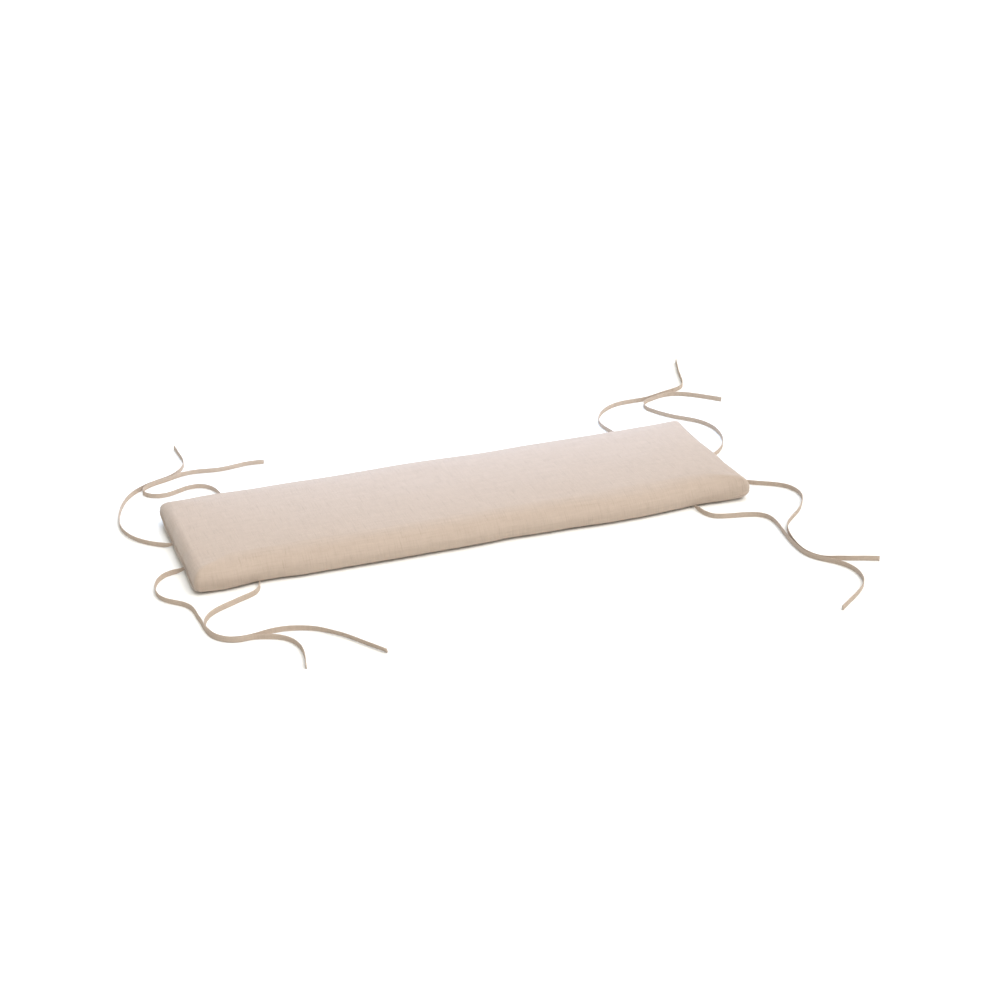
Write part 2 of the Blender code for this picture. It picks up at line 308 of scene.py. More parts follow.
def linen(name, dark, light_yarn, sheen, relief):
    """A linen material that reads the piece's own cloth map, in metres."""
    made = new_material(
        name,
        Roughness=0.92,
        Specular_IOR_Level=0.25,
        Sheen_Weight=sheen,
        Sheen_Roughness=0.45,
        Sheen_Tint=(0.93, 0.97, 1.0, 1.0),
    )
    tree = made.node_tree
    place = add_node(tree, "ShaderNodeUVMap", uv_map=CLOTH_MAP).outputs["UV"]
    cloth = add_node(tree, "ShaderNodeGroup", node_tree=linen_weave)
    tree.links.new(place, cloth.inputs["Place"])
    colour = between(tree, cloth.outputs["Tone"], dark, light_yarn)
    feeds = {"Height": cloth.outputs["Height"], "Distance": relief, "Strength": 1.0}
    bump = add_node(tree, "ShaderNodeBump", feeds).outputs["Normal"]
    shader = tree.nodes["Principled BSDF"]
    tree.links.new(colour, shader.inputs["Base Color"])
    tree.links.new(bump, shader.inputs["Normal"])
    return made


cover_linen = linen("natural linen", (0.37, 0.29, 0.23), (0.63, 0.515, 0.425), 0.30, 0.12 * MM)
tie_linen = linen("folded linen", (0.37, 0.295, 0.23), (0.64, 0.52, 0.43), 0.06, 0.10 * MM)

thread_finish = new_material("linen thread", Roughness=0.7)
thread_tree = thread_finish.node_tree
thread_place = add_node(thread_tree, "ShaderNodeTexCoord").outputs["Object"]
feeds = {"Vector": thread_place, "Scale": 900.0}
thread_noise = add_node(thread_tree, "ShaderNodeTexNoise", feeds).outputs[0]
thread_colour = between(thread_tree, thread_noise, (0.56, 0.47, 0.38), (0.74, 0.66, 0.56))
thread_tree.links.new(thread_colour, thread_tree.nodes["Principled BSDF"].inputs["Base Color"])
print("materials:", cover_linen.name, tie_linen.name, thread_finish.name)

# %% [markdown]
# ## The eight ties
# Each tie is a strip of linen with its raw edges folded in, folded once more and stitched along the
# open side: a limp tape about 10 mm wide that stands on its edge where it curves. It could be a curve
# with a flat bevel, but the real tape has one closed fold, one open one, a pressed line where the
# thread sinks in and a doubled tip, so its cross-section is drawn here and carried along the route by
# hand-written mesh code. The routes are the same points as in the construction model.

# %% routes of the ties, from the seam to the tip, in millimetres
ROUTES = {
    "front_left_edge": (
        (-472, -167.7), (-473, -180), (-477, -194), (-487, -209), (-508, -221), (-538, -235), (-568, -250),
        (-591, -268), (-604, -289.5), (-607.5, -310.5), (-604.5, -331), (-596, -352), (-580, -368),
        (-558, -375.5), (-533, -375.5), (-507, -370.5), (-476, -369), (-446, -376), (-418, -390),
        (-394, -411), (-374, -433.5), (-356, -460), (-338, -487), (-319, -515),
    ),
    "front_left_end": (
        (-591.8, -68), (-606, -69), (-620, -70.5), (-637, -77), (-654, -93), (-665, -117), (-668, -145),
        (-662, -171), (-649.5, -188), (-632, -204), (-617.5, -227), (-614, -257), (-611.5, -284),
        (-610.5, -310), (-607.5, -332), (-598.5, -354), (-581.5, -370.7), (-558, -378.5), (-533, -379),
        (-510, -386), (-487, -398), (-470, -418), (-462, -446), (-463, -479), (-470.5, -516),
    ),
    "back_left_edge": (
        (-462, 172.5), (-459, 190), (-455.5, 217), (-454.5, 244), (-458, 271), (-469, 295), (-487, 308.5),
        (-508, 309.5), (-532, 301), (-557, 290.5), (-580, 290), (-598, 300.5), (-606.5, 316), (-604, 334),
        (-590, 349), (-567, 360.5), (-545, 369), (-522, 378.5), (-497, 384.5), (-465, 383.5), (-430, 378),
        (-396, 382), (-361, 387), (-325, 384),
    ),
    "back_left_end": (
        (-591.8, 45.5), (-606, 49.5), (-623, 59.5), (-645, 78.5), (-663, 102), (-676, 131), (-681.5, 161),
        (-680.5, 193), (-675, 225), (-665, 258), (-651, 290), (-632, 319), (-608, 341), (-584, 356.5),
        (-560, 367), (-538, 377.5), (-519, 394), (-505, 413), (-496, 435), (-493.5, 460), (-495, 493),
        (-497, 535),
    ),
    "front_right_edge": (
        (468, -167.8), (470, -182), (471.5, -198), (476, -215), (485, -229), (503, -237.5), (530, -244),
        (556, -250), (576, -259), (588, -273), (592, -293), (590, -320), (584, -352), (579, -388),
        (577, -428), (583.5, -460), (600, -484), (621, -509), (634, -539), (634, -569), (624, -597),
        (602, -622.5), (568.5, -648), (533, -673.5),
    ),
    "front_right_end": (
        (592.4, -76.2), (608, -88), (629, -105.5), (650, -119), (673, -133), (694, -150), (706, -174),
        (706, -203), (692.5, -233), (668.5, -264), (635.5, -294), (610.5, -319), (595, -349), (585, -386),
        (580.5, -426), (586.2, -457), (602.2, -480), (626, -490.5), (650, -500), (676, -510.5),
        (705, -522.5),
    ),
    "back_right_edge": (
        (472, 173), (473, 186), (472, 212), (468, 240), (462.5, 269), (459.5, 298), (465, 328), (480, 355),
        (504, 380), (533, 398), (565, 406), (595, 407), (620, 408), (645, 414), (672, 423), (706, 433.5),
        (733, 445), (749, 464), (760, 493), (769, 522), (780, 553), (802, 611),
    ),
    "back_right_end": (
        (591.7, 46), (612, 47.5), (632, 56), (653, 73), (675, 102), (689, 133), (696, 167), (695, 200),
        (686, 228), (668, 254), (645, 278), (624, 305), (609, 332), (601, 355), (603, 374), (614, 390),
        (632, 401), (652, 409), (676, 415), (704, 411.5), (731, 397), (761, 370), (792, 339),
    ),
}

# How far each tie leans to its left, in degrees: (share of its length, lean) from the seam to the tip.
LEANS = {
    "front_left_edge": ((0.0, 0), (0.10, -12), (0.22, -16), (0.45, 0), (0.62, 14), (0.80, -12), (1.0, -18)),
    "front_left_end": ((0.0, 0), (0.10, -10), (0.25, 0), (0.40, 12), (0.62, 12), (0.80, 4), (1.0, 0)),
    "back_left_edge": ((0.0, 0), (0.40, -5), (0.70, 4), (1.0, 3)),
    "back_left_end": ((0.0, 0), (0.30, 4), (0.60, 3), (1.0, -5)),
    "front_right_edge": ((0.0, 0), (0.18, 10), (0.40, 0), (0.70, 3), (1.0, -6)),
    "front_right_end": ((0.0, 0), (0.30, 0), (0.60, -3), (1.0, 5)),
    "back_right_edge": ((0.0, 0), (0.30, 3), (0.65, 4), (1.0, 0)),
    "back_right_end": ((0.0, 0), (0.50, 0), (0.80, 5), (1.0, 20)),
}
KNOBBY_TIPS = ("front_left_edge", "front_right_edge")
routes = {name: np.array(points) * MM for name, points in ROUTES.items()}
print("points by hand along the ties", sum(len(route) for route in routes.values()))


# %% a smooth line through given points
def smooth_curve(points, step):
    """Points about a step apart on the natural cubic spline through these points."""
    gaps = np.linalg.norm(np.diff(points, axis=0), axis=1)
    along = np.concatenate([[0.0], np.cumsum(gaps)])
    count = len(points)
    matrix = np.eye(count)
    right = np.zeros_like(points)
    for i in range(1, count - 1):
        matrix[i, i - 1 : i + 2] = gaps[i - 1], 2 * (gaps[i - 1] + gaps[i]), gaps[i]
        right[i] = 6 * ((points[i + 1] - points[i]) / gaps[i] - (points[i] - points[i - 1]) / gaps[i - 1])
    bends = np.linalg.solve(matrix, right)
    samples = []
    for at in np.linspace(0, along[-1], max(int(round(along[-1] / step)), 2) + 1):
        i = min(int(np.searchsorted(along, at, side="right")) - 1, count - 2)
        before, after, gap = at - along[i], along[i + 1] - at, gaps[i]
        samples.append(
            (bends[i] * after**3 + bends[i + 1] * before**3) / (6 * gap)
            + (points[i] / gap - bends[i] * gap / 6) * after
            + (points[i + 1] / gap - bends[i + 1] * gap / 6) * before
        )
    return np.array(samples)


def running_length(line):
    """Distance along a line of points, at each of them."""
    return np.concatenate([[0.0], np.cumsum(np.linalg.norm(np.diff(line, axis=0), axis=1))])


# %% the section of a folded tape
TAPE_WIDTH = 10.5 * MM
TAPE_THICKNESS = 1.6 * MM
TAPE_STEP = 2.5 * MM
TAPE_LIFT = 0.3 * MM
STITCH_FROM_EDGE = 1.9 * MM

# One side of the section, from the closed fold up to the open one: share of the half thickness, then
# share of the half width. The other side is its mirror, and the middle of the open fold lies deeper.
SECTION_SIDE = (
    (0.55, -0.985), (0.92, -0.93), (1.0, -0.80), (1.0, -0.35), (1.0, 0.20), (0.97, 0.52),
    (0.74, 0.64), (0.97, 0.75), (1.0, 0.88), (0.80, 0.965), (0.42, 1.0),
)
OPEN_FOLD = (0.0, 0.86)
CLOSED_FOLD = (0.0, -1.0)
SECTION = (CLOSED_FOLD, *SECTION_SIDE, OPEN_FOLD, *((-a, b) for a, b in reversed(SECTION_SIDE)))
section_points = np.array(SECTION) * (TAPE_THICKNESS / 2, TAPE_WIDTH / 2)
section_girth = running_length(np.vstack([section_points, section_points[:1]]))
print("points in a tape's section", len(SECTION), "girth in mm", in_mm(section_girth[-1]))

# %% how a tape stands along its route
ROOT_RUN = 30 * MM             # over which it comes down from the seam
ROOT_INSIDE = 2.5 * MM         # of it sits in the seam
ROOT_WIDTH_SHARE = 0.50
ROOT_HEIGHTS = {"edge": 6.0 * MM, "end": 9.5 * MM}
LEAN_DRIFT, LEAN_PITCH = 3.0, 55 * MM      # degrees
SWAY, SWAY_PITCH = 0.25 * MM, 18 * MM
TIP_HEM, HEM_START = 6 * MM, 1.5 * MM      # the doubled end, and how soon it is at its full thickness
PLAIN_HEM, KNOBBY_HEM = (0.45, 0.03), (0.90, 0.12)         # how much thicker and how much narrower it is

Tape = namedtuple("Tape", "piece centre side up width thickness along")


def eased(share):
    """0 to 1 with a soft start and end."""
    share = np.clip(share, 0.0, 1.0)
    return share * share * (3 - 2 * share)


def drift(places, pitch, seed):
    """Smooth random values between -1 and 1, changing over about a pitch."""
    knots = np.random.default_rng(seed).uniform(-1, 1, int(np.max(places) / pitch) + 3)
    cell = np.floor(places / pitch).astype(int)
    share = eased(places / pitch - cell)
    return knots[cell] * (1 - share) + knots[cell + 1] * share


def tape_stance(name, seed):
    """A tape's centre line, with its side and up directions, width, thickness and distance along it."""
    flat = smooth_curve(routes[name], TAPE_STEP)
    tangent = np.gradient(flat, axis=0)
    tangent /= np.linalg.norm(tangent, axis=1)[:, None]
    flat = np.vstack([flat[0] - tangent[0] * ROOT_INSIDE, flat])
    tangent = np.vstack([tangent[:1], tangent])
    along = running_length(flat)
    total = along[-1]
    lean = np.interp(along / total, *zip(*LEANS[name])) + LEAN_DRIFT * drift(along, LEAN_PITCH, seed)
    lean = np.radians(lean) * eased(along / ROOT_RUN)
    left = np.column_stack([-tangent[:, 1], tangent[:, 0], np.zeros(len(flat))])
    upright = np.array([0, 0, 1.0])
    up = left * np.sin(lean)[:, None] + upright * np.cos(lean)[:, None]
    side = left * np.cos(lean)[:, None] - upright * np.sin(lean)[:, None]
    width = TAPE_WIDTH * (ROOT_WIDTH_SHARE + (1 - ROOT_WIDTH_SHARE) * eased(along / ROOT_RUN))
    hem = eased((along - (total - TIP_HEM)) / HEM_START)
    thicker, narrower = KNOBBY_HEM if name in KNOBBY_TIPS else PLAIN_HEM
    thickness = TAPE_THICKNESS * (1 + hem * thicker)
    width *= 1 - hem * narrower
    rest = TAPE_LIFT + width / 2 * np.cos(lean) + thickness / 2 * np.abs(np.sin(lean))
    root_height = ROOT_HEIGHTS[name.split("_")[-1]]
    height = root_height + (rest - root_height) * eased(along / ROOT_RUN)
    sway = SWAY * drift(along, SWAY_PITCH, seed + 50)
    centre = np.column_stack([flat, height]) + left * sway[:, None]
    return centre, side, up, width, thickness, along


# %% a tape's mesh
MAP_SHIFT = 37 * MM            # from tie to tie, so that no two have their slubs in the same places


def tube_mesh(name, rings, map_places):
    """A closed tube through rings of points, with its cloth map given as one place a point of each ring."""
    count, around = len(rings), len(rings[0])
    vertices = [tuple(p) for ring in rings for p in ring]
    faces, places = [], []
    for i in range(count - 1):
        for j in range(around):
            k = (j + 1) % around
            faces.append((i * around + j, i * around + k, (i + 1) * around + k, (i + 1) * around + j))
            places += [map_places[i][j], map_places[i][j + 1], map_places[i + 1][j + 1], map_places[i + 1][j]]
    faces.append(tuple(reversed(range(around))))
    places += [map_places[0][j] for j in reversed(range(around))]
    faces.append(tuple((count - 1) * around + j for j in range(around)))
    places += [map_places[-1][j] for j in range(around)]
    mesh = bpy.data.meshes.new(name)
    mesh.from_pydata(vertices, [], faces)
    layer = mesh.uv_layers.new(name=CLOTH_MAP)
    layer.data.foreach_set("uv", np.array(places, np.float32).reshape(-1))
    mesh.validate()
    mesh.shade_smooth()
    return mesh


def tape(name, seed):
    """One tie, with all that its stitches need."""
    centre, side, up, width, thickness, along = tape_stance(name, seed)
    across = section_points[:, 0] / TAPE_THICKNESS
    high = section_points[:, 1] / TAPE_WIDTH
    shift = seed * MAP_SHIFT
    rings, places = [], []
    for i in range(len(centre)):
        rings.append(centre[i] + np.outer(across * thickness[i], side[i]) + np.outer(high * width[i], up[i]))
        places.append([(along[i] + shift, girth + shift) for girth in section_girth])
    mesh = tube_mesh("tie_" + name, rings, places)
    mesh.materials.append(tie_linen)
    return Tape(link("linen_tie_" + name, mesh), centre, side, up, width, thickness, along)


ties = {name: tape(name, seed) for seed, name in enumerate(routes, start=1)}
for name, tie in ties.items():
    print(name, "length in mm", in_mm(tie.along[-1]), "faces", len(tie.piece.data.polygons))

# %% [markdown]
# ## Stitches, by Geometry Nodes
# A row of machine stitches runs along the open fold of each tie, on both faces, and one more closes
# the tip. Each stitch is a short fat dash of thread half sunk in the cloth. Placing thousands of them
# by hand is hopeless, and they follow a line at an even pitch, which is just what Geometry Nodes are
# for: the tree takes a thin guide line, puts a dash on it at every pitch, turns each along the line
# with a little unevenness, and makes them real. The sizes are named inputs of the tree.

# %% the stitching tree
STITCH_INPUTS = (
    ("Pitch", "NodeSocketFloat", 3.2 * MM),
    ("Thread", "NodeSocketFloat", 0.42 * MM),
    ("Dash", "NodeSocketFloat", 2.3 * MM),
    ("Unevenness", "NodeSocketFloat", 0.10),
    ("Seed", "NodeSocketInt", 7),
    ("Finish", "NodeSocketMaterial", None),
)
BALL_SHAPE = {"Segments": 6, "Rings": 4, "Radius": 0.5}


def stitch_tree():
    """Guide lines in, a row of thread dashes along them out."""
    tree = bpy.data.node_groups.new("machine stitches", "GeometryNodeTree")
    face = tree.interface
    face.new_socket("Guide", in_out="INPUT", socket_type="NodeSocketGeometry")
    for name, kind, value in STITCH_INPUTS:
        socket = face.new_socket(name, in_out="INPUT", socket_type=kind)
        if value is not None:
            socket.default_value = value
    face.new_socket("Stitches", in_out="OUTPUT", socket_type="NodeSocketGeometry")
    given = tree.nodes.new("NodeGroupInput").outputs
    line = add_node(tree, "GeometryNodeMeshToCurve", {"Mesh": given["Guide"]}).outputs["Curve"]
    feeds = {"Curve": line, "Length": given["Pitch"]}
    points = add_node(tree, "GeometryNodeCurveToPoints", feeds, mode="LENGTH").outputs
    ball = add_node(tree, "GeometryNodeMeshUVSphere", BALL_SHAPE).outputs["Mesh"]
    feeds = {"X": given["Thread"], "Y": given["Thread"], "Z": given["Dash"]}
    size = add_node(tree, "ShaderNodeCombineXYZ", feeds).outputs[0]
    dash = add_node(tree, "GeometryNodeTransform", {"Geometry": ball, "Scale": size}).outputs["Geometry"]
    feeds = {"Vector": points["Tangent"]}
    turn = add_node(tree, "FunctionNodeAlignRotationToVector", feeds, axis="Z").outputs["Rotation"]
    low = maths(tree, "SUBTRACT", 1.0, given["Unevenness"])
    high = maths(tree, "ADD", 1.0, given["Unevenness"])
    feeds = {2: low, 3: high, "Seed": given["Seed"]}
    uneven = add_node(tree, "FunctionNodeRandomValue", feeds, data_type="FLOAT").outputs[1]
    feeds = {"Points": points["Points"], "Instance": dash, "Rotation": turn, "Scale": uneven}
    placed = add_node(tree, "GeometryNodeInstanceOnPoints", feeds).outputs["Instances"]
    real = add_node(tree, "GeometryNodeRealizeInstances", {"Geometry": placed}).outputs["Geometry"]
    smooth = add_node(tree, "GeometryNodeSetShadeSmooth", {"Geometry": real}).outputs["Geometry"]
    feeds = {"Geometry": smooth, "Material": given["Finish"]}
    finished = add_node(tree, "GeometryNodeSetMaterial", feeds).outputs["Geometry"]
    out = tree.nodes.new("NodeGroupOutput")
    tree.links.new(finished, out.inputs["Stitches"])
    return tree


stitches_tree = stitch_tree()
print("the stitching tree has", len(stitches_tree.nodes), "nodes")


# %% guide lines in, plain mesh out
def evaluated_copy(obj, name):
    """A plain mesh of an object with its modifiers, which are then taken off it."""
    graph = bpy.context.evaluated_depsgraph_get()
    mesh = bpy.data.meshes.new_from_object(obj.evaluated_get(graph))
    mesh.name = name
    obj.modifiers.clear()
    return mesh


def stitched(name, lines, **values):
    """Stitches along lines of points, as one plain mesh object."""
    vertices, edges = [], []
    for line in lines:
        start = len(vertices)
        vertices += [tuple(p) for p in line]
        edges += [(start + i, start + i + 1) for i in range(len(line) - 1)]
    guide_mesh = bpy.data.meshes.new(name + "_guide")
    guide_mesh.from_pydata(vertices, edges, [])
    guide = link(name + "_guide", guide_mesh)
    rows = guide.modifiers.new("stitches", "NODES")
    rows.node_group = stitches_tree
    sockets = {s.name: s.identifier for s in stitches_tree.interface.items_tree if s.in_out == "INPUT"}
    for socket, value in {"Finish": thread_finish, **values}.items():
        rows[sockets[socket]] = value
    mesh = evaluated_copy(guide, name)
    bpy.data.objects.remove(guide, do_unlink=True)
    bpy.data.meshes.remove(guide_mesh)
    return link(name, mesh)


# %% stitches on the ties
STITCH_SINK = 0.775            # of the half thickness: where a thread's middle lies, in the pressed line
FIRST_STITCH = 12 * MM         # from the root
LAST_STITCH = 2.5 * MM         # from the tip
TIP_ROW = 4.5 * MM             # from the tip
TIP_ROW_HALF = 0.36            # of the tape's width
stitch_rows = {}
for seed, (name, tie) in enumerate(ties.items()):
    high = tie.width / 2 - STITCH_FROM_EDGE * tie.width / TAPE_WIDTH
    shown = (tie.along > FIRST_STITCH) & (tie.along < tie.along[-1] - LAST_STITCH)
    at = int(np.searchsorted(tie.along, tie.along[-1] - TIP_ROW))
    lines = []
    for face in (-1, 1):
        reach = face * tie.thickness / 2 * STITCH_SINK
        lines.append((tie.centre + tie.side * reach[:, None] + tie.up * high[:, None])[shown])
    for face in (-1, 1):
        middle = tie.centre[at] + tie.side[at] * face * tie.thickness[at] / 2
        half = tie.up[at] * tie.width[at] * TIP_ROW_HALF
        lines.append(np.linspace(middle - half, middle + half, 4))
    stitch_rows[name] = stitched("stitches_" + name, lines, Seed=seed)
print("faces of the stitches", sum(len(row.data.polygons) for row in stitch_rows.values()))

# %% [markdown]
# ## The stuffed cover, part one: a net that follows the sewing
# The cover is two panels of linen. The upper one lies over the top and rolls down all four sides to a
# low seam, where it meets the panel of the underside. Along the front the top turns down early, in one
# wide dome, and on the other sides the roll is tighter. The seam almost touches the ground on the long
# sides and stands higher on the short ones, most of all at the back left corner, and under it the lower
# panel runs in a little before it lies flat. A box with a bevel would have none of that, so a net of
# faces is laid out here: rings round the side, close together at the seam, and straight rows over top
# and underside. The cloth map, in metres, is laid out with it, so that the threads run straight over
# the top and down the sides.

# %% sizes of the net
LENGTH, WIDTH = 1.200, 0.357
TOP_EDGE = 52.2 * MM           # height of the top just inside its roll
CROWN = 2.4 * MM
BULGE_HEIGHT = 23 * MM         # where the side reaches out furthest
CORNER_RADIUS = 13 * MM
CORNER_TIGHTENING = 0.32       # of the inset, taken off the corner's radius
LONG_FACES, SHORT_FACES, CORNER_FACES = 320, 90, 10
SEAM_STEPS = (0.7, 1.3, 2.0, 3.0, 4.6, 7.0)     # mm from the seam, to both sides of it
LOW_RINGS, HIGH_RINGS = 4, 17
seam_ring = LOW_RINGS + len(SEAM_STEPS)
columns, rows = LONG_FACES + CORNER_FACES, SHORT_FACES + CORNER_FACES
side_ends = np.cumsum([0, columns, rows, columns, rows])
round_count = side_ends[-1]
print("points round the pad", round_count, "cells over the top", columns, "by", rows)


# %% the net's plan
def plan(inset):
    """Points round the pad's plan, this far inside its bulge, from the middle of the front left corner."""
    radius = CORNER_RADIUS - inset * CORNER_TIGHTENING
    half_x, half_y = LENGTH / 2 - inset - radius, WIDTH / 2 - inset - radius
    corners = ((-half_x, -half_y), (half_x, -half_y), (half_x, half_y), (-half_x, half_y))
    points = []
    for index, (x, y) in enumerate(corners):
        start = math.pi + index * math.pi / 2
        for step in range(CORNER_FACES):
            angle = start + step / CORNER_FACES * math.pi / 2
            points.append((x + radius * math.cos(angle), y + radius * math.sin(angle)))
        angle = start + math.pi / 2
        first = np.array((x + radius * math.cos(angle), y + radius * math.sin(angle)))
        next_x, next_y = corners[(index + 1) % 4]
        last = np.array((next_x + radius * math.cos(angle), next_y + radius * math.sin(angle)))
        steps = SHORT_FACES if index % 2 else LONG_FACES
        points += [tuple(first + (last - first) * step / steps) for step in range(steps)]
    return np.roll(np.array(points), -(CORNER_FACES // 2), axis=0)


def bell(distance, reach):
    """1 in the middle, 0 from the reach on, smooth at both."""
    share = np.minimum(np.abs(distance) / reach, 1.0)
    return (1 - share * share) ** 2


def from_corner(points, side_x, side_y):
    """How far each point's plan place is from a corner of the pad, given as its sides in x and y."""
    return np.hypot(points[:, 0] - side_x * LENGTH / 2, points[:, 1] - side_y * WIDTH / 2)


bulge_plan = plan(0.0)
inwards = (plan(MM) - bulge_plan) / MM

# %% how the side is rolled, from place to place
END_BLEND = 60 * MM
CORNER_REACH = 85 * MM
SEAM_LOW, SEAM_AT_ENDS = 6.2 * MM, 14.0 * MM
OVER_ROLLS = {"front": 58 * MM, "back": 21 * MM, "ends": 21 * MM}       # from the bulge in to the top
TUCK = 12 * MM                 # half width of the ellipse from the bulge down to the seam
WEDGES = {"front": 18 * MM, "back": 14 * MM, "ends": 24 * MM}           # from the seam in to the ground
WEDGE_POWER = 1.6              # above 1 it starts down steeply and runs out flat

# Corners: side in x and y, then in millimetres how much the seam rises, the bulge rises, the over roll
# widens, the wedge widens and the corner stands out
CORNERS = (
    (-1, -1, -6, 0, 4, -8, 1.2),
    (1, -1, 2, 2, 0, -8, 1.6),
    (1, 1, 4, 0, -8, -8, 1.2),
    (-1, 1, 12, 9, 6, -12, 1.0),
)
CORNER_STAND_REACH = 55 * MM
END_ROOTS = ((-1, -68), (-1, 46), (1, -77), (1, 46))       # ties on the ends: side, and place in mm
END_ROOT_PULL, END_ROOT_REACH = 4 * MM, 36 * MM

at_end = eased((np.abs(bulge_plan[:, 0]) - (LENGTH / 2 - END_BLEND)) / END_BLEND)
seam_height = SEAM_LOW + (SEAM_AT_ENDS - SEAM_LOW) * at_end
to_front = eased(0.5 - bulge_plan[:, 1] / WIDTH)


def round_the_pad(sizes):
    """A size at each point of the plan, blended from those of the front, the back and the ends."""
    long_sides = sizes["front"] * to_front + sizes["back"] * (1 - to_front)
    return long_sides * (1 - at_end) + sizes["ends"] * at_end


over_roll, wedge = round_the_pad(OVER_ROLLS), round_the_pad(WEDGES)
bulge_height = np.full(round_count, BULGE_HEIGHT)
for side_x, side_y, seam_rises, bulge_rises, over_widens, wedge_widens, _ in CORNERS:
    near = bell(from_corner(bulge_plan, side_x, side_y), CORNER_REACH) * MM
    seam_height += seam_rises * near
    bulge_height += bulge_rises * near
    over_roll += over_widens * near
    wedge += wedge_widens * near
for side_x, at_y in END_ROOTS:
    away = np.hypot(bulge_plan[:, 0] - side_x * LENGTH / 2, bulge_plan[:, 1] - at_y * MM)
    seam_height -= END_ROOT_PULL * bell(away, END_ROOT_REACH)

# above the seam: a part of an ellipse up to the bulge, and a quarter of another over to the top
steps = np.array(SEAM_STEPS)[:, None] * MM
seam_angle = np.arcsin(seam_height / bulge_height - 1)
near_angles = seam_angle + steps / np.hypot(TUCK * np.sin(seam_angle), bulge_height * np.cos(seam_angle))
high_angles = np.linspace(near_angles[-1], np.full(round_count, math.pi / 2), HIGH_RINGS + 1)[1:]
angles = np.vstack([seam_angle, near_angles, high_angles])
insets = np.where(angles < 0, TUCK, over_roll) * (1 - np.cos(angles))
heights = bulge_height + np.where(angles < 0, bulge_height, TOP_EDGE - bulge_height) * np.sin(angles)

# below it: the underside panel runs in under the pad and comes down to the ground
near_shares = 1 - steps[::-1] / np.hypot(wedge, seam_height)
low_shares = np.linspace(np.zeros(round_count), near_shares[0], LOW_RINGS + 1)[:-1]
shares = np.vstack([low_shares, near_shares])
insets = np.vstack([insets[0] + wedge * (1 - shares), insets])
heights = np.vstack([seam_height * shares**WEDGE_POWER, heights])
rings = np.dstack([bulge_plan + insets[:, :, None] * inwards, heights])
print("rings", len(rings), "height of the seam in mm", in_mm(seam_height.min(), seam_height.max()))


# %% the net's points and faces
def sides_of(ring):
    """A ring's front, right, back and left, each with both its corners, from the left or from the front."""
    ring = np.concatenate([ring, ring[:1]])
    front, right, back, left = (ring[side_ends[i] : side_ends[i + 1] + 1] for i in range(4))
    return front, right, back[::-1], left[::-1]


def patch(ring):
    """A grid of places inside a ring of them, each row and column drawn evenly between the ring's sides."""
    front, right, back, left = sides_of(ring)
    u = np.linspace(0, 1, columns + 1)[:, None, None]
    v = np.linspace(0, 1, rows + 1)[None, :, None]
    across = (1 - v) * front[:, None] + v * back[:, None]
    along = (1 - u) * left[None] + u * right[None]
    both = (1 - u) * ((1 - v) * front[0] + v * back[0]) + u * ((1 - v) * front[-1] + v * back[-1])
    return across + along - both


def patch_index(ring_start, inner_start):
    """Vertex numbers of a grid: the ring's own round its edge, new ones inside."""
    index = np.zeros((columns + 1, rows + 1), int)
    index[1:-1, 1:-1] = inner_start + np.arange((columns - 1) * (rows - 1)).reshape(columns - 1, rows - 1)
    index[:, 0], index[-1], index[:, -1], index[0] = sides_of(ring_start + np.arange(round_count))
    return index


def corners_of(grid):
    """The values at the four corners of every face of a grid."""
    return np.stack((grid[:-1, :-1], grid[1:, :-1], grid[1:, 1:], grid[:-1, 1:]), axis=2)


ring_total = len(rings) * round_count
inner = [patch(ring)[1:-1, 1:-1].reshape(-1, 3) for ring in (rings[-1], rings[0])]
laid_out = np.vstack([rings.reshape(-1, 3), *inner])
side_index = np.arange(ring_total).reshape(len(rings), round_count)
side_index = np.hstack([side_index, side_index[:, :1]]).T
side_faces = corners_of(side_index).reshape(-1, 4)
top_faces = corners_of(patch_index(ring_total - round_count, ring_total)).reshape(-1, 4)
under_faces = corners_of(patch_index(0, ring_total + len(inner[0]))).reshape(-1, 4)[:, ::-1]
faces = np.vstack([side_faces, top_faces, under_faces])
print("net points", len(laid_out), "faces", len(faces))

# %% the cloth map: an upper panel that reaches down to the seam, and an underside panel
UNDER_SHIFT = 3.0              # the underside is cut from another part of the cloth
SIDE_WAYS = (((1, 0), (0, -1)), ((0, 1), (1, 0)), ((-1, 0), (0, 1)), ((0, -1), (-1, 0)))     # along, out
down = np.linalg.norm(np.diff(rings, axis=0), axis=2)[::-1]
down = np.vstack([np.zeros(round_count), np.cumsum(down, axis=0)])[::-1]
from_seam = down[seam_ring] - down
cloth_map = []
for side, (way_along, way_out) in enumerate(SIDE_WAYS):
    here = np.arange(side_ends[side], side_ends[side + 1] + 1) % round_count
    grid = np.empty((len(here), len(rings), 2))
    for i, ring in enumerate(rings):
        run = running_length(ring[here, :2])
        out = rings[-1][here, :2] @ np.array(way_out) + down[i][here]
        grid[:, i] = np.outer(run - run[-1] / 2, way_along) + np.outer(out, way_out)
    corners = corners_of(grid)
    corners[:, :seam_ring, :, 0] += UNDER_SHIFT
    cloth_map.append(corners.reshape(-1, 2))
cloth_map.append(laid_out[top_faces.reshape(-1), :2])
cloth_map.append(laid_out[under_faces.reshape(-1), :2] + (UNDER_SHIFT, 0.0))
cloth_map = np.vstack(cloth_map)
print("places on the cloth map", len(cloth_map))

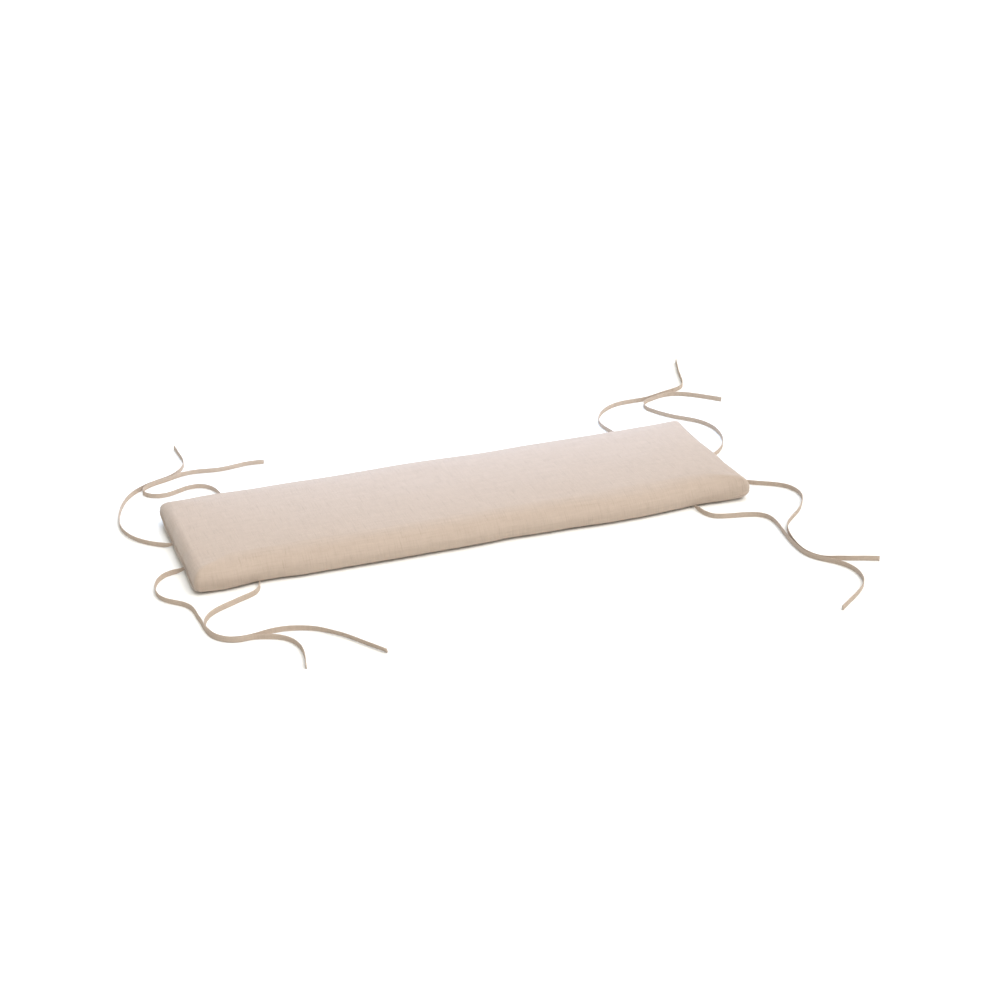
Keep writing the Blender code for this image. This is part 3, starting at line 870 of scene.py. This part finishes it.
# %% the swells, in millimetres
# The construction model has these along its sides: side, place along it, reach, how far out
SIDE_SWELLS = (
    ("front", -535, 45, 3.5), ("front", -450, 70, -5), ("front", -210, 130, 2), ("front", 50, 90, -4.2),
    ("front", 300, 150, 4), ("front", 480, 90, -4.2), ("back", -500, 60, 2), ("back", -405, 50, -1.5),
    ("back", -240, 80, -1.8), ("back", -65, 110, 3), ("back", 115, 100, -3.2), ("back", 510, 80, 2.5),
    ("left", -68, 50, -1.4), ("left", 46, 50, -1.4), ("right", -77, 50, -1.4), ("right", 46, 50, -1.4),
)
# and the cover has two more, long and shallow, where the photo's front stands out a little
OWN_SWELLS = (("front", -20, 240, 2.5), ("front", 330, 280, 2.5))
WAYS = {"front": (0, -1), "back": (0, 1), "left": (-1, 0), "right": (1, 0)}
SWELL_FADE = 75 * MM

# Over the top: x, y, half length, half width, lift
TOP_SWELLS = (
    (-540, 20, 60, 120, -1.2), (-300, -60, 110, 80, 1), (-60, 70, 120, 70, -1.2), (180, -50, 120, 80, 1),
    (400, 60, 100, 80, -1), (545, -20, 50, 110, -1.2),
)


def swelled(points):
    """Net points moved out or in with the sides, and up or down with the top."""
    x, y, z = points.T
    moved = points.copy()
    for side, *sizes in SIDE_SWELLS + OWN_SWELLS:
        along, reach, out = np.array(sizes) * MM
        way_x, way_y = WAYS[side]
        far = (LENGTH if way_x else WIDTH) / 2 - (x * way_x + y * way_y)
        amount = out * bell((x if way_y else y) - along, reach) * bell(np.maximum(far, 0), SWELL_FADE)
        moved[:, 0] += way_x * amount
        moved[:, 1] += way_y * amount
    share_x = np.minimum((LENGTH / 2 - np.abs(x)) / (WIDTH / 2), 1.0)
    share_y = np.minimum((WIDTH / 2 - np.abs(y)) / (WIDTH / 2), 1.0)
    rise = CROWN * (1 - (1 - share_x) ** 2) * (1 - (1 - share_y) ** 2)
    for at_x, at_y, half_x, half_y, lift in np.array(TOP_SWELLS) * MM:
        rise += lift * bell(np.hypot((x - at_x) / half_x, (y - at_y) / half_y), 1.0)
    for side_x, side_y, *_, stand in CORNERS:
        near = bell(from_corner(points, side_x, side_y), CORNER_STAND_REACH)
        moved[:, :2] += np.outer(stand * MM * near, (side_x, side_y))
    moved[:, 2] += rise * eased(z / BULGE_HEIGHT - 1)
    return moved


net = swelled(laid_out)
print("net before the filling pushes, height in mm", in_mm(net[:, 2].max()))

# %% [markdown]
# ## The stuffed cover, part two: the filling pushes
# The cover of a firm pad is tight: it bulges a little between the places that hold it, and it is held
# along its underside, in its seam and most of all where the ties are sewn in. Sculpting that by hand
# looks stiff, and a cloth simulation gives it for free. A copy of the net is made a little smaller,
# remeshed evenly, held along its lower part and blown up by pressure for twenty frames. The net is
# then moved onto the result, each point along its own way out, which keeps its tidy faces.

# %% small tools for the net
def ways_out(points):
    """The direction outwards at each net point."""
    a, b, c, d = (points[faces[:, k]] for k in range(4))
    turned = np.cross(c - a, d - b)
    total = np.zeros_like(points)
    for k in range(4):
        np.add.at(total, faces[:, k], turned)
    return total / np.linalg.norm(total, axis=1)[:, None]


OWN_SHARE = 0.4                # of a value, kept in each pass of smoothing
SHORTEST_EDGE = 0.1 * MM       # shorter ones count as this long


def smoothed(values, points, passes):
    """Values at the net points, evened out with their neighbours, and most with the nearest of them."""
    ends = np.vstack([faces[:, [k, (k + 1) % 4]] for k in range(4)])
    ends = np.vstack([ends, ends[:, ::-1]])
    lengths = np.linalg.norm(points[ends[:, 0]] - points[ends[:, 1]], axis=1)
    pull = 1 / np.maximum(lengths, SHORTEST_EDGE) ** 2
    total = np.bincount(ends[:, 0], pull, len(values))
    for _ in range(passes):
        around = np.bincount(ends[:, 0], pull * values[ends[:, 1]], len(values)) / total
        values = OWN_SHARE * values + (1 - OWN_SHARE) * around
    return values


def mesh_of(name, points):
    """The net with its points at these places."""
    mesh = bpy.data.meshes.new(name)
    mesh.from_pydata(points.tolist(), [], faces.tolist())
    return mesh


def points_of(mesh):
    """A mesh's points as an array."""
    found = np.empty(len(mesh.vertices) * 3, np.float32)
    mesh.vertices.foreach_get("co", found)
    return found.reshape(-1, 3).astype(float)


# %% blow it up
START_INSET = 1.2 * MM         # how much smaller the copy starts, where it is free
VOXEL = 6.0 * MM
HELD_BELOW, FREE_ABOVE = 12 * MM, 22 * MM
TIE_HOLD, CORNER_HOLD = 16 * MM, 26 * MM
HOLD_ENDS = 1.5                # times that reach, and it is full up to half of it
LEAST_HOLD = 0.01
MOST_MOVE = 1.4 * MM           # large moves come close to this and never pass it
FRAMES = 20
CLOTH = {
    "quality": 5, "mass": 0.3, "tension_stiffness": 80, "compression_stiffness": 80, "shear_stiffness": 30,
    "bending_stiffness": 3, "use_pressure": True, "uniform_pressure_force": 4, "vertex_group_mass": "held",
}


def blown_up():
    """The remeshed pad after twenty frames of pressure, as a plain mesh."""
    free = eased((net[:, 2] - HELD_BELOW) / (FREE_ABOVE - HELD_BELOW))
    smaller = net - ways_out(net) * START_INSET * free[:, None]
    pad = link("filling", mesh_of("filling", smaller))
    remesh = pad.modifiers.new("even faces", "REMESH")
    remesh.mode = "VOXEL"
    remesh.voxel_size = VOXEL
    pad.data = evaluated_copy(pad, "even_filling")
    before = points_of(pad.data)
    hold = eased((FREE_ABOVE - before[:, 2]) / (FREE_ABOVE - HELD_BELOW))
    places = [((*route[0], BULGE_HEIGHT / 2), TIE_HOLD) for route in routes.values()]
    places += [((x * LENGTH / 2, y * WIDTH / 2, BULGE_HEIGHT), CORNER_HOLD) for x, y, *_ in CORNERS]
    for place, reach in places:
        away = np.linalg.norm(before - np.array(place), axis=1)
        hold = np.maximum(hold, eased(HOLD_ENDS - away / reach))
    group = pad.vertex_groups.new(name="held")
    for index in np.nonzero(hold > LEAST_HOLD)[0]:
        group.add([int(index)], float(hold[index]), "REPLACE")
    cloth = pad.modifiers.new("cover", "CLOTH")
    for setting, value in CLOTH.items():
        setattr(cloth.settings, setting, value)
    cloth.settings.effector_weights.gravity = 0
    cloth.point_cache.frame_start = 1
    cloth.point_cache.frame_end = FRAMES
    for number in range(1, FRAMES + 1):
        bpy.context.scene.frame_set(number)
    mesh = evaluated_copy(pad, "blown_up")
    bpy.context.scene.frame_set(1)
    move = points_of(mesh) - before
    far = np.linalg.norm(move, axis=1)
    after = before + move / (1 + far / MOST_MOVE)[:, None]
    after[:, 2] = np.maximum(after[:, 2], 0.0)
    mesh.vertices.foreach_set("co", after.astype(np.float32).reshape(-1))
    bpy.data.objects.remove(pad, do_unlink=True)
    print("points", len(after), "moved in mm, mean and most:", in_mm(far.mean(), far.max()))
    return mesh


# %% the net follows
SNAP_REACH = 14 * MM
SNAP_SMOOTHING = 20


def distance_to(surface, points, ways):
    """How far along its way out the surface is from each point."""
    corners = [tuple(face.vertices) for face in surface.polygons]
    tree = BVHTree.FromPolygons([tuple(point) for point in points_of(surface)], corners)
    found = np.zeros(len(points))
    for index, (point, way) in enumerate(zip(points, ways)):
        hit = tree.ray_cast(Vector(point + way * SNAP_REACH), Vector(-way), 2 * SNAP_REACH)
        if hit[0] is not None:
            found[index] = SNAP_REACH - hit[3]
    return found


outwards = ways_out(net)
push = smoothed(distance_to(blown_up(), net, outwards), net, SNAP_SMOOTHING)
print("push in mm, least, mean and most:", in_mm(push.min(), push.mean(), push.max()))
net = net + outwards * push[:, None]
net[:, 2] = np.maximum(net[:, 2], 0.0)

# %% [markdown]
# ## The stuffed cover, part three: what the needle did
# Only now come the seam and what it pulls: the groove in which the two panels meet, the small puckers
# that the thread draws into both of them, short dart seams that close the corners, and the soft
# troughs and ridges that run from each sewn-in tie. These are placed one by one, because the
# real ones are few and uneven, and a noise texture would spread the same wrinkle everywhere.

# %% seam, puckers and darts
GROOVE_DEPTH, GROOVE_HALF = 1.6 * MM, 1.0 * MM
LIP_RISE, LIP_RISE_AT_ENDS, LIP_PLACE, LIP_HALF = 0.5 * MM, 2.8 * MM, 1.9 * MM, 1.5 * MM
PINCH, PINCH_PLACE, PINCH_HALF = 1.8 * MM, 6.5 * MM, 3.0 * MM          # above the lip, on the ends
CORNER_LIP_LOSS, LIP_FADE = 0.85, 34 * MM
PUCKER, PUCKER_PITCH, PUCKER_REACH = 0.45 * MM, 6.5 * MM, 7.0 * MM
LEAST_PUCKER, CALM_PITCH = 0.45, 60 * MM                               # puckers come and go
PUCKER_START = 12 * MM         # they fade out this close to where the run round the pad closes
DART_DEPTH, DART_TOP = 0.7 * MM, math.radians(40)


def hump(distance, half):
    """1 in the middle, falling off evenly to both sides."""
    return np.exp(-((distance / half) ** 2))


round_run = running_length(bulge_plan)
groove = -GROOVE_DEPTH * hump(from_seam, GROOVE_HALF)
lips = (LIP_RISE + (LIP_RISE_AT_ENDS - LIP_RISE) * at_end) * hump(from_seam - LIP_PLACE, LIP_HALF)
lips -= PINCH * at_end * hump(from_seam - PINCH_PLACE, PINCH_HALF)
for side_x, side_y, *_ in CORNERS:
    lips *= 1 - CORNER_LIP_LOSS * bell(from_corner(bulge_plan, side_x, side_y), LIP_FADE)
drawn = hump(from_seam, PUCKER_REACH) * np.minimum(1.0, np.abs(from_seam) / LIP_PLACE)
wave = LEAST_PUCKER + (1 - LEAST_PUCKER) * np.abs(drift(round_run, CALM_PITCH, 12))
wave *= drift(round_run, PUCKER_PITCH, 11)
wave *= np.minimum(1.0, np.minimum(round_run, round_run[-1] - round_run) / PUCKER_START)
sewn = groove + lips + PUCKER * drawn * wave
for middle in side_ends[:4]:
    sewn[seam_ring:, middle] -= DART_DEPTH * eased(1 - angles[:, middle] / DART_TOP)
rise = np.zeros(len(net))
rise[:ring_total] = sewn.reshape(-1)

# %% creases given one by one, in millimetres: start, end, half width, rise (a trough is negative)
CREASES = (
    # pulled in over the ties of the front edge
    ((-474, -176, 10), (-466, -150, 49), 24, -1.4),
    ((-478, -176, 12), (-500, -168, 40), 6, -0.6),
    ((-466, -176, 12), (-440, -170, 38), 7, -0.7),
    ((-489, -178, 12), (-520, -176, 24), 6, 0.5),
    ((470, -176, 10), (478, -152, 49), 24, -1.3),
    ((474, -176, 12), (498, -170, 36), 6, -0.6),
    ((464, -176, 12), (440, -168, 40), 7, -0.6),
    # over the ties of the ends
    ((-596, -68, 12), (-574, -68, 50), 20, -1.2),
    ((-596, -64, 14), (-588, -44, 44), 6, -0.7),
    ((-596, -73, 14), (-588, -96, 42), 6, -0.6),
    ((-596, 46, 12), (-572, 44, 50), 18, -1.2),
    ((-594, 40, 30), (-574, 26, 49), 5, -0.9),
    ((-590, 66, 44), (-574, 70, 50), 6, -0.7),
    ((596, -77, 12), (574, -75, 50), 20, -1.2),
    ((596, 46, 12), (574, 46, 50), 18, -1),
    # over the ties of the back edge
    ((-462, 178, 10), (-466, 152, 49), 20, -1),
    ((472, 178, 10), (470, 152, 49), 20, -1),
    # where the front right corner is folded in
    ((580, -176, 20), (556, -178, 16), 5, -0.8),
    ((590, -168, 30), (560, -177, 34), 5, 0.5),
)
SLIM_END = 0.25                # of its width and rise, at both ends of a crease
FLAT_UNDER = 0.2 * MM          # points that lie this low stay as they are


def spindle(share):
    """Full in the middle of a crease, slim at its ends."""
    return SLIM_END + (1 - SLIM_END) * np.sin(math.pi * share)


for start, end, half_width, lift in CREASES:
    start, end = np.array(start) * MM, np.array(end) * MM
    line = end - start
    share = np.clip((net - start) @ line / (line @ line), 0.0, 1.0)
    reach = np.linalg.norm(net - start - share[:, None] * line, axis=1)
    rise += lift * MM * spindle(share) * bell(reach, half_width * MM * spindle(share))
rise[net[:, 2] < FLAT_UNDER] = 0.0
net = net + ways_out(net) * rise[:, None]
net[:, 2] = np.maximum(net[:, 2], 0.0)
print("creases", len(CREASES), "deepest and highest point in mm", in_mm(rise.min(), rise.max()))

# %% the cover's mesh
cover_mesh = mesh_of("linen_cover", net)
cover_layer = cover_mesh.uv_layers.new(name=CLOTH_MAP)
cover_layer.data.foreach_set("uv", cloth_map.astype(np.float32).reshape(-1))
cover_mesh.shade_smooth()
cover_mesh.materials.append(cover_linen)
cover = link("linen_cover", cover_mesh)
print("cover faces", len(cover_mesh.polygons), "height in mm", in_mm(net[:, 2].max()))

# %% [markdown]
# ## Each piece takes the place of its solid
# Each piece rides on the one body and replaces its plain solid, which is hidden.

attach(cover, "root")
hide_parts("cushion")
for name, tie in ties.items():
    row = stitch_rows[name]
    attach(tie.piece, "root")
    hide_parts("tie_" + name)
    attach(row, "root")
print("declared one pad and", len(ties), "ties")
